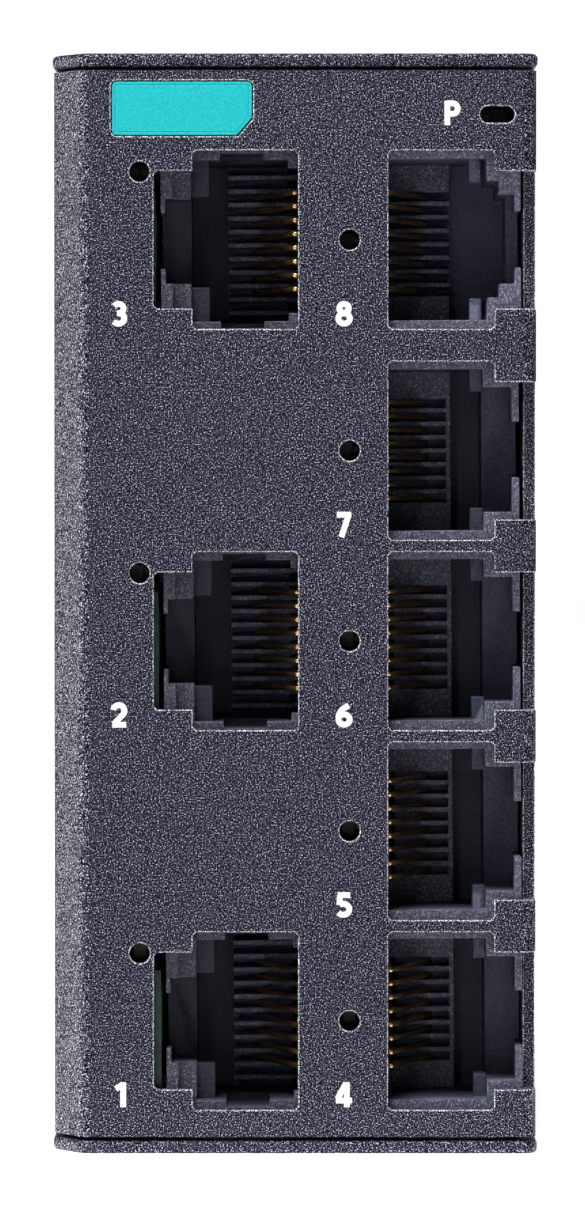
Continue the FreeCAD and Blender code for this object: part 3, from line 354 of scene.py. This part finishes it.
def moulding(name, dark, pale, rough, grain=0.25, depth=0.008):
    """Moulded plastic with a fine spark-eroded texture."""
    f = Finish(name)
    mottle = f.noise(1.6, detail=3.0)
    f.colour(mottle, tones(dark, pale))
    texture = f.noise(grain, detail=3.0)
    f.roughness(texture, rough - 0.07, rough + 0.09)
    f.bump((texture, depth))
    return f.material


def board_mask():
    """Green solder mask with faint tracks under it."""
    f = Finish("board_mask")
    tracks = f.cell_edges(1.3)
    f.colour(tracks, [(0.08, (0.004, 0.030, 0.016)), (0.16, (0.007, 0.052, 0.026))])
    f.roughness(f.noise(0.4), 0.25, 0.4)
    f.bump((f.noise(0.3), 0.01))
    return f.material


def clear_plastic():
    """The power lamp's light guide: it lets light through, tinted dark grey, and is faintly hazy."""
    f = Finish("clear_plastic")
    haze = f.noise(0.6)
    f.set(Transmission_Weight=0.9, IOR=1.49)
    f.colour(haze, tones((0.10, 0.11, 0.12), (0.16, 0.17, 0.18)))
    f.roughness(haze, 0.08, 0.22)
    return f.material


def white_ink():
    """Screen-printed white, a little uneven."""
    f = Finish("white_ink")
    f.colour(f.noise(0.25), tones((0.88, 0.88, 0.90), (0.97, 0.97, 0.97)))
    f.roughness(f.noise(0.15), 0.45, 0.6)
    f.bump((f.noise(0.26, detail=3.0), 0.02))
    return f.material


def studio_paper():
    """White paper that glows as painted light in a band that runs back from under the switch, which washes
    out the switch's shadow on it.
    """
    f = Finish("studio_paper")
    f.colour(f.noise(40.0), tones((0.86, 0.86, 0.86), (0.88, 0.88, 0.88)))
    f.set(Roughness=0.9, Emission_Color=(1, 1, 1, 1))
    back = f.along("Y")
    side = f.add("ShaderNodeMath", operation="ABSOLUTE")
    f.link(f.along("X"), side.inputs[0])
    beside = f.add("ShaderNodeMath", operation="MULTIPLY_ADD")
    f.link(back, beside.inputs[0])
    beside.inputs[1].default_value = -GLOW_WIDENING
    f.link(side.outputs[0], beside.inputs[2])
    glow = f.add("ShaderNodeMath", operation="MULTIPLY")
    for i, (source, ends, low, high) in enumerate(((back, GLOW_START, 0.0, GLOW_STRENGTH),
                                                   (beside.outputs[0], GLOW_FADE, 1.0, 0.0))):
        f.link(f.span(source, *ends, low, high, interpolation_type="SMOOTHSTEP"), glow.inputs[i])
    f.link(glow.outputs[0], f.shader.inputs["Emission Strength"])
    return f.material


# The coats' palest flecks are painted glints; the rims' coat has many more of them
COAT_PAINTED_GLINTS = coat_with_painted_glints("coat_with_painted_glints", [(0.34, (0.002, 0.002, 0.006)), (0.47, (0.006, 0.006, 0.016)),
                                   (0.55, (0.025, 0.025, 0.048)), (0.62, (0.12, 0.12, 0.19)),
                                   (0.72, (0.80, 0.80, 1.0))])
RIM_COAT_PAINTED_GLINTS = coat_with_painted_glints("rim_coat_with_painted_glints", [(0.36, (0.010, 0.010, 0.016)), (0.46, (0.12, 0.12, 0.15)),
                                           (0.54, (0.55, 0.55, 0.62)), (0.62, (0.95, 0.95, 1.0))])
# One nylon in four copies, each with its own painted light on the front faces and its own painted shade
# further in; the combs' copy is painted paler further in instead
NYLON_PAINTED_SHADE = nylon_painted_by_depth("nylon_painted_by_depth", SOCKET_PAINTED_SHADE_DEPTHS, painted_outer_light=1.6, painted_inner_light=1.8)
LEFT_NYLON_PAINTED_SHADE = nylon_painted_by_depth("left_jack_nylon_painted_shade", SOCKET_PAINTED_SHADE_DEPTHS, painted_outer_light=0.85, painted_inner_light=0.62)
GANGED_NYLON_PAINTED_SHADE = nylon_painted_by_depth("ganged_jack_nylon_painted_shade", SOCKET_PAINTED_SHADE_DEPTHS, painted_outer_light=1.35, painted_inner_light=1.05)
COMB_NYLON_PAINTED_LIGHT = nylon_painted_by_depth("comb_nylon_painted_light_by_depth", COMB_PAINTED_LIGHT_DEPTHS, painted_outer_light=1.2, painted_inner_light=3.0)
GOLD_PAINTED_LIGHT = gold_painted_by_depth()
TEAL = teal_plastic()
ZINC = plated_steel("zinc_plate", (0.50, 0.50, 0.49), (0.66, 0.66, 0.64), 0.34)
NICKEL = plated_steel("nickel_plate", (0.56, 0.53, 0.44), (0.70, 0.67, 0.58), 0.3)
TIN = plated_steel("tin_plate", (0.60, 0.60, 0.58), (0.74, 0.74, 0.72), 0.36)
CAN = plated_steel("can_plate", (0.62, 0.62, 0.64), (0.76, 0.76, 0.78), 0.3)
SPRING = plated_steel("spring_wire", (0.42, 0.42, 0.43), (0.58, 0.58, 0.6), 0.28)
CHIP_BLACK = moulding("chip_black", (0.010, 0.010, 0.010), (0.018, 0.018, 0.018), 0.5)
GREEN_PLASTIC = moulding("green_plastic", (0.006, 0.16, 0.035), (0.012, 0.22, 0.055), 0.45)
BLUE_PLASTIC = moulding("blue_plastic", (0.008, 0.045, 0.24), (0.015, 0.07, 0.32), 0.42)
WHITE_PLASTIC = moulding("white_plastic", (0.68, 0.68, 0.65), (0.78, 0.78, 0.75), 0.4)
LAMP_PLASTIC = moulding("lamp_plastic", (0.05, 0.055, 0.045), (0.08, 0.085, 0.07), 0.3)
BRACKET_NYLON = moulding("bracket_nylon", (0.012, 0.012, 0.013), (0.022, 0.022, 0.023), 0.52,
                         grain=0.35, depth=0.02)
BOARD = board_mask()
CLEAR = clear_plastic()
INK = white_ink()
PAPER = studio_paper()

# The finish of each material slot of the record
SLOT_FINISH = {
    "coated_steel": COAT_PAINTED_GLINTS, "teal_plate": TEAL, "zinc_screw": ZINC, "nickel_spacer": NICKEL,
    "green_board": BOARD, "black_moulding": CHIP_BLACK, "gold_contact": GOLD_PAINTED_LIGHT, "jack_moulding": NYLON_PAINTED_SHADE,
    "lamp_body": LAMP_PLASTIC, "clear_guide": CLEAR, "can_metal": CAN, "green_moulding": GREEN_PLASTIC,
    "tin_contact": TIN, "blue_moulding": BLUE_PLASTIC, "bracket_moulding": BRACKET_NYLON,
    "spring_steel": SPRING, "white_knob": WHITE_PLASTIC,
}


def paint(obj, finish):
    """Gives an object one finish."""
    obj.data.materials.clear()
    obj.data.materials.append(finish)


def stand_for(obj, node, finish=None):
    """A finished piece takes the place, slot and body of one node."""
    slot = NODE_SLOT[node]
    paint(obj, finish or SLOT_FINISH[slot])
    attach(obj, NODE_BODY[node])
    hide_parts(node)
    return obj


def new_object(name, data):
    """An object at the origin of the scene."""
    obj = bpy.data.objects.new(name, data)
    bpy.context.scene.collection.objects.link(obj)
    return obj


def new_piece(name, bm):
    """An object from a finished bmesh in metres."""
    mesh = bpy.data.meshes.new(name)
    bm.to_mesh(mesh)
    bm.free()
    return new_object(name, mesh)


def move_end(bm, extruded, way):
    """Moves the new end of an extrusion."""
    verts = [item for item in extruded["geom"] if isinstance(item, bmesh.types.BMVert)]
    bmesh.ops.translate(bm, vec=way, verts=verts)


def merged_copy(node):
    """The node's triangles as one welded mesh with its flat faces whole again."""
    bm = bmesh.new()
    bm.from_mesh(frame["nodes"][node].data)
    bmesh.ops.remove_doubles(bm, verts=bm.verts, dist=WELD_DISTANCE * MM)
    bmesh.ops.dissolve_limit(bm, angle_limit=math.radians(FLAT_ANGLE), verts=bm.verts, edges=bm.edges)
    return bm


def mark_edges(bm, plain_ends):
    """Weights the outward sharp edges for rounding, and keeps the inward ones crisp.
    With plain ends, those at the very top and bottom stay crisp too."""
    weight = bm.edges.layers.float.new("bevel_weight_edge")
    low = min(v.co.z for v in bm.verts)
    high = max(v.co.z for v in bm.verts)
    for face in bm.faces:
        face.smooth = True
    for edge in bm.edges:
        if abs(edge.calc_face_angle_signed(0)) > math.radians(SHARP_ANGLE):
            at_end = all(min(v.co.z - low, high - v.co.z) < END_ZONE * MM for v in edge.verts)
            edge.smooth = edge.is_convex and not (plain_ends and at_end)
            edge[weight] = float(edge.smooth)


def round_edges(obj, width, segments):
    """Rounding in millimetres on the weighted edges. On the folded front the rounding gets painted glints,
    a coat with many more pale flecks.
    """
    bevel = obj.modifiers.new("rounded_edges", "BEVEL")
    # On the coated sheet the clamp would hold the whole rounding back for its shortest edge
    bevel.use_clamp_overlap = obj.data.materials[0] != COAT_PAINTED_GLINTS
    # The front housing's rounded rims take the coat with painted glints
    if obj.name.startswith("front_housing"):
        obj.data.materials.append(RIM_COAT_PAINTED_GLINTS)
    bevel.width = width * MM
    bevel.segments = segments
    bevel.limit_method = "WEIGHT"
    bevel.material = len(obj.data.materials) - 1
    shading = obj.modifiers.new("even_shading", "WEIGHTED_NORMAL")
    shading.keep_sharp = True


def dressed(node, width, segments, finish=None):
    """A node's own shape with rounded edges."""
    bm = merged_copy(node)
    mark_edges(bm, plain_ends=node == "front_housing")
    piece = stand_for(new_piece(node + "_finished", bm), node, finish)
    round_edges(piece, width, segments)


def wires_along(name, routes, radius=0.0, profile=None):
    """Wires along smooth routes, each a list of control points in metres. They are round with a radius
    in millimetres, or have a profile's section."""
    curve = bpy.data.curves.new(name, "CURVE")
    curve.dimensions = "3D"
    curve.twist_mode = "Z_UP"
    curve.bevel_resolution = 2
    curve.use_fill_caps = True
    if profile is None:
        curve.bevel_depth = radius * MM
    else:
        curve.bevel_mode = "OBJECT"
        curve.bevel_object = profile
    for route in routes:
        spline = curve.splines.new("NURBS")
        spline.points.add(len(route) - 1)
        for point, place in zip(spline.points, route):
            point.co = (*place, 1)
        spline.order_u = 3
        spline.use_endpoint_u = True
        spline.resolution_u = 4
    holder = new_object(name, curve)
    mesh = bpy.data.meshes.new_from_object(holder.evaluated_get(bpy.context.evaluated_depsgraph_get()))
    bpy.data.objects.remove(holder)
    mesh.name = name
    for polygon in mesh.polygons:
        polygon.use_smooth = True
    return new_object(name, mesh)


def softened(points, radius):
    """A route with a pair of points beside each inner corner, for short bends between straight runs."""
    route = [points[0]]
    for before, corner, after in zip(points, points[1:], points[2:]):
        back = (before - corner).normalized() * min(radius, (before - corner).length / 2)
        ahead = (after - corner).normalized() * min(radius, (after - corner).length / 2)
        route += [corner + back, corner, corner + ahead]
    return route + [points[-1]]


def wire_profile():
    """The wires' flat section with cut corners, as a small closed curve."""
    curve = bpy.data.curves.new("wire_section", "CURVE")
    curve.dimensions = "2D"
    spline = curve.splines.new("POLY")
    half_w = WIRE_WIDTH / 2
    half_t = WIRE_THICKNESS / 2
    corners = [(half_w - WIRE_EDGE_CUT, -half_t), (half_w, -half_t + WIRE_EDGE_CUT),
               (half_w, half_t - WIRE_EDGE_CUT), (half_w - WIRE_EDGE_CUT, half_t)]
    corners += [(-x, -y) for x, y in corners]
    spline.points.add(len(corners) - 1)
    for point, (x, y) in zip(spline.points, corners):
        point.co = (x * MM, y * MM, 0, 1)
    spline.use_cyclic_u = True
    return new_object("wire_section", curve)


def leaned(x, z):
    """Where a point of the leaning boards and sockets comes to lie."""
    return x - LEAN * (z - LEAN_HEIGHT), z + LEAN * x


def contact_wires(port, section):
    """The eight sprung wires of one socket. Those on the left reach to the left of their contact side."""
    if port in LEFT_ROWS:
        row, origin, side, foot = LEFT_ROWS[port], LEFT_CONTACT_SIDE, -1, LEFT_WIRE_FOOT
    else:
        row, origin, side, foot = RIGHT_ROWS[port], RIGHT_CONTACT_SIDE, 1, RIGHT_WIRE_FOOT
    outline = [(foot, WIRE_BACK), (WIRE_FLOOR, WIRE_BACK), (WIRE_FLOOR, WIRE_FRONT), WIRE_TIP]
    routes = []
    for i in range(WIRE_COUNT):
        z = row + (i - (WIRE_COUNT - 1) / 2) * WIRE_PITCH
        points = []
        for u, v in outline:
            x, leaned_z = leaned(origin + side * u, z)
            points.append(Vector((x, FRONT_Y + v, leaned_z)) * MM)
        routes.append(softened(points, WIRE_BEND * MM))
    wires = wires_along("wires_port_%d" % port, routes, profile=section)
    stand_for(wires, "contacts_port_%d" % port)


def inset_label():
    """The coloured plate with a fine groove that leaves a border round its face."""
    bm = merged_copy("front_label")
    front = min(v.co.y for v in bm.verts)
    face = [f for f in bm.faces if all(abs(v.co.y - front) < FACE_ZONE * MM for v in f.verts)]
    for width, rise in ((LABEL_BORDER, 0.0), (LABEL_GROOVE, -LABEL_GROOVE), (LABEL_GROOVE, LABEL_GROOVE)):
        bmesh.ops.inset_region(bm, faces=face, thickness=width * MM, depth=rise * MM, use_even_offset=True)
    stand_for(new_piece("inset_label", bm), "front_label")


def arc(x, y, radius, start, end, squeeze=1.0):
    """Points on an arc between two angles in degrees, counted from the right and anticlockwise."""
    steps = max(3, round(abs(end - start) / ARC_STEP))
    angles = [math.radians(start + (end - start) * i / steps) for i in range(steps + 1)]
    return [(x + squeeze * radius * math.cos(a), y + radius * math.sin(a)) for a in angles]


# Each character's strokes as lines of points, in a frame one unit high
STROKES = {
    "1": [[(0.43, 0.0), (0.43, 1.0)], [(0.13, 0.73), (0.40, 0.90)]],
    "2": [arc(0.335, 0.665, 0.225, 172, -38) + [(0.14, 0.14)], [(0.07, 0.105), (0.63, 0.105)]],
    "3": [arc(0.31, 0.705, 0.185, 148, -90, 1.1) + [(0.25, 0.52)],
          [(0.25, 0.52)] + arc(0.31, 0.31, 0.21, 90, -145, 1.1)],
    "4": [[(0.43, 0.97), (0.09, 0.34)], [(0.02, 0.27), (0.67, 0.27)], [(0.46, 0.0), (0.46, 1.0)]],
    "5": [[(0.60, 0.895), (0.10, 0.895)], [(0.19, 0.9), (0.165, 0.50)],
          arc(0.32, 0.325, 0.22, 125, -145, 1.1)],
    "6": [arc(0.34, 0.315, 0.205, 0, 360, 1.1), arc(0.60, 0.36, 0.49, 178, 112) + [(0.53, 0.885)]],
    "7": [[(0.05, 0.895), (0.63, 0.895)], [(0.54, 0.93), (0.23, 0.0)]],
    "8": [arc(0.34, 0.71, 0.18, 0, 360, 1.05), arc(0.34, 0.31, 0.205, 0, 360, 1.12)],
    "P": [[(0.15, 0.0), (0.15, 1.0)], [(0.15, 0.895), (0.36, 0.895)] + arc(0.36, 0.68, 0.215, 75, -75)
          + [(0.36, 0.465), (0.15, 0.465)]],
}


def stroke_edge(points, side, closed):
    """One side of a stroke, offset from its line, with its corners mitred."""
    edge = []
    for i, point in enumerate(points):
        ways = []
        if i > 0 or closed:
            ways.append((point - points[i - 1]).normalized())
        if i < len(points) - 1 or closed:
            ways.append((points[(i + 1) % len(points)] - point).normalized())
        mean = sum(ways, Vector((0, 0))).normalized()
        normal = Vector((-mean.y, mean.x))
        edge.append(point + normal * (side / max(LEAST_MITRE, mean.dot(ways[0]))))
    return edge


def printed(text, x, z, height):
    """A printed character on the front panel, its middle at x and z."""
    bm = bmesh.new()
    reach = [p[0] for line in STROKES[text] for p in line]
    middle = (min(reach) + max(reach)) / 2
    for layer, line in enumerate(STROKES[text]):
        closed = (Vector(line[0]) - Vector(line[-1])).length < CLOSED_GAP
        points = [Vector(p) for p in (line[:-1] if closed else line)]
        left = stroke_edge(points, STROKE_WIDTH / 2, closed)
        right = stroke_edge(points, -STROKE_WIDTH / 2, closed)
        rows = []
        for pair in zip(left, right):
            rows.append([bm.verts.new(((x + (p.x - middle) * height) * MM, FRONT_Y * MM,
                                       (z + (p.y - 0.5) * height) * MM)) for p in pair])
        following = rows[1:] + rows[:1] if closed else rows[1:]
        faces = [bm.faces.new((a[0], a[1], b[1], b[0])) for a, b in zip(rows, following)]
        rise = (INK_THICKNESS + INK_STEP * layer) * MM
        move_end(bm, bmesh.ops.extrude_face_region(bm, geom=faces), (0, -rise, 0))
    bmesh.ops.recalc_face_normals(bm, faces=bm.faces)
    obj = new_piece("printed_" + text, bm)
    paint(obj, INK)
    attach(obj, "housing")


def printed_characters():
    """The port numbers and the letter beside the power lamp's slot."""
    for column, x in ((LEFT_ROWS, DIGIT_LEFT_X), (RIGHT_ROWS, DIGIT_RIGHT_X)):
        for port, row in column.items():
            printed(str(port), x, row - DIGIT_DROP, DIGIT_HEIGHT)
    printed("P", *POWER_LETTER_PLACE, POWER_LETTER_HEIGHT)


def spring_coil():
    """The latch's spring as a round wire helix, 11 mm long at rest. The latch squashes it to 7.5 mm."""
    low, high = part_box("latch_spring")
    centre = (low + high) / 2
    steps = int(SPRING_TURNS * STEPS_PER_TURN)
    route = []
    for i in range(steps + 1):
        angle = 2 * math.pi * i / STEPS_PER_TURN
        x = centre.x + SPRING_RADIUS * MM * math.cos(angle)
        y = centre.y + SPRING_RADIUS * MM * math.sin(angle)
        z = low.z + (SPRING_WIRE / 2) * MM + i / steps * (high.z - low.z - SPRING_WIRE * MM)
        route.append(Vector((x, y, z)))
    coil = wires_along("spring_coil", [route], SPRING_WIRE / 2)
    stand_for(coil, "latch_spring")
    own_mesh(coil)


# Nodes with rounded edges: width of the rounding, its segments, and a finish where it isn't the slot's
ROUNDED = {
    "front_housing": (0.09, 2), "rear_cover": (0.36, 4), "din_bracket": (0.3, 2), "din_latch": (0.25, 2),
    "terminal_plug": (0.15, 2), "terminal_header": (0.12, 2), "dip_base": (0.1, 2),
    # The sockets on the left and the ganged sockets take copies of the nylon painted with their own light
    # and shade, the combs one with its own painted light
    "jack_port_1": (0.07, 2, LEFT_NYLON_PAINTED_SHADE), "jack_port_2": (0.07, 2, LEFT_NYLON_PAINTED_SHADE),
    "jack_port_3": (0.07, 2, LEFT_NYLON_PAINTED_SHADE), "jack_port_8": (0.07, 2),
    "jack_ports_4_to_7": (0.07, 2, GANGED_NYLON_PAINTED_SHADE), "contact_combs": (0.05, 2, COMB_NYLON_PAINTED_LIGHT),
    "dip_slider_1": (0.08, 2), "dip_slider_2": (0.08, 2), "housing_screws": (0.2, 3),
    "ground_screw": (0.35, 3), "din_bracket_screw": (0.2, 3),
    "transformers_left": (0.2, 2), "transformers_right": (0.2, 2),
    "power_light_guide": (0.08, 2), "capacitor": (0.4, 3), "power_inductor": (0.25, 2),
    "terminal_screw_1": (0.08, 2), "terminal_screw_2": (0.08, 2), "terminal_screw_3": (0.08, 2),
    "left_board": (0.05, 1), "right_board": (0.05, 1), "ground_nut": (0.15, 1),
}


def paper_floor():
    """A pale paper floor that sweeps up behind the switch."""
    bm = bmesh.new()
    bmesh.ops.create_grid(bm, x_segments=1, y_segments=1, size=PAPER_REACH)
    back = [e for e in bm.edges if all(v.co.y > 0 for v in e.verts)]
    move_end(bm, bmesh.ops.extrude_edge_only(bm, edges=back), (0, 0, PAPER_RISE))
    bmesh.ops.bevel(bm, geom=back, offset=PAPER_BEND, segments=PAPER_BEND_STEPS, profile=0.5,
                    affect="EDGES", material=-1)
    for face in bm.faces:
        face.smooth = True
    floor = new_piece("paper_floor", bm)
    paint(floor, PAPER)


def studio_light():
    """A dim room with soft round lamps."""
    world = bpy.data.worlds.new("studio_world")
    world.use_nodes = True
    background = world.node_tree.nodes["Background"]
    background.inputs["Color"].default_value = ROOM_COLOUR
    background.inputs["Strength"].default_value = ROOM_STRENGTH
    bpy.context.scene.world = world
    for name, place, aim, size, power, lights_matt in LAMPS:
        light = bpy.data.lights.new(name, "AREA")
        light.shape = "DISK"
        light.size = size
        light.energy = power
        lamp = new_object(name, light)
        lamp.location = place
        lamp.rotation_euler = (Vector(aim) - Vector(place)).to_track_quat("-Z", "Y").to_euler()
        lamp.visible_diffuse = lights_matt


def photograph_camera():
    """The photograph's camera, straight in front and tilted a little down."""
    camera = new_object("camera", bpy.data.cameras.new("camera"))
    camera.data.lens = CAMERA_LENS
    camera.data.sensor_width = CAMERA_SENSOR
    camera.data.clip_end = CAMERA_REACH
    tilt = math.atan2(CAMERA_HEIGHT - CAMERA_AIM, CAMERA_DISTANCE)
    camera.location = (CAMERA_SIDE * MM, (FRONT_Y - CAMERA_DISTANCE) * MM, CAMERA_HEIGHT * MM)
    camera.rotation_euler = (math.pi / 2 - tilt, 0, 0)
    bpy.context.scene.camera = camera
    bpy.context.scene.view_settings.view_transform = "Standard"


paper_floor()
studio_light()
photograph_camera()
for node, rounding in ROUNDED.items():
    dressed(node, *rounding)
section = wire_profile()
for port in (*LEFT_ROWS, *RIGHT_ROWS):
    contact_wires(port, section)
bpy.data.objects.remove(section)
printed_characters()
inset_label()
spring_coil()
for node, obj in frame["nodes"].items():
    paint(obj, SLOT_FINISH[NODE_SLOT[node]])
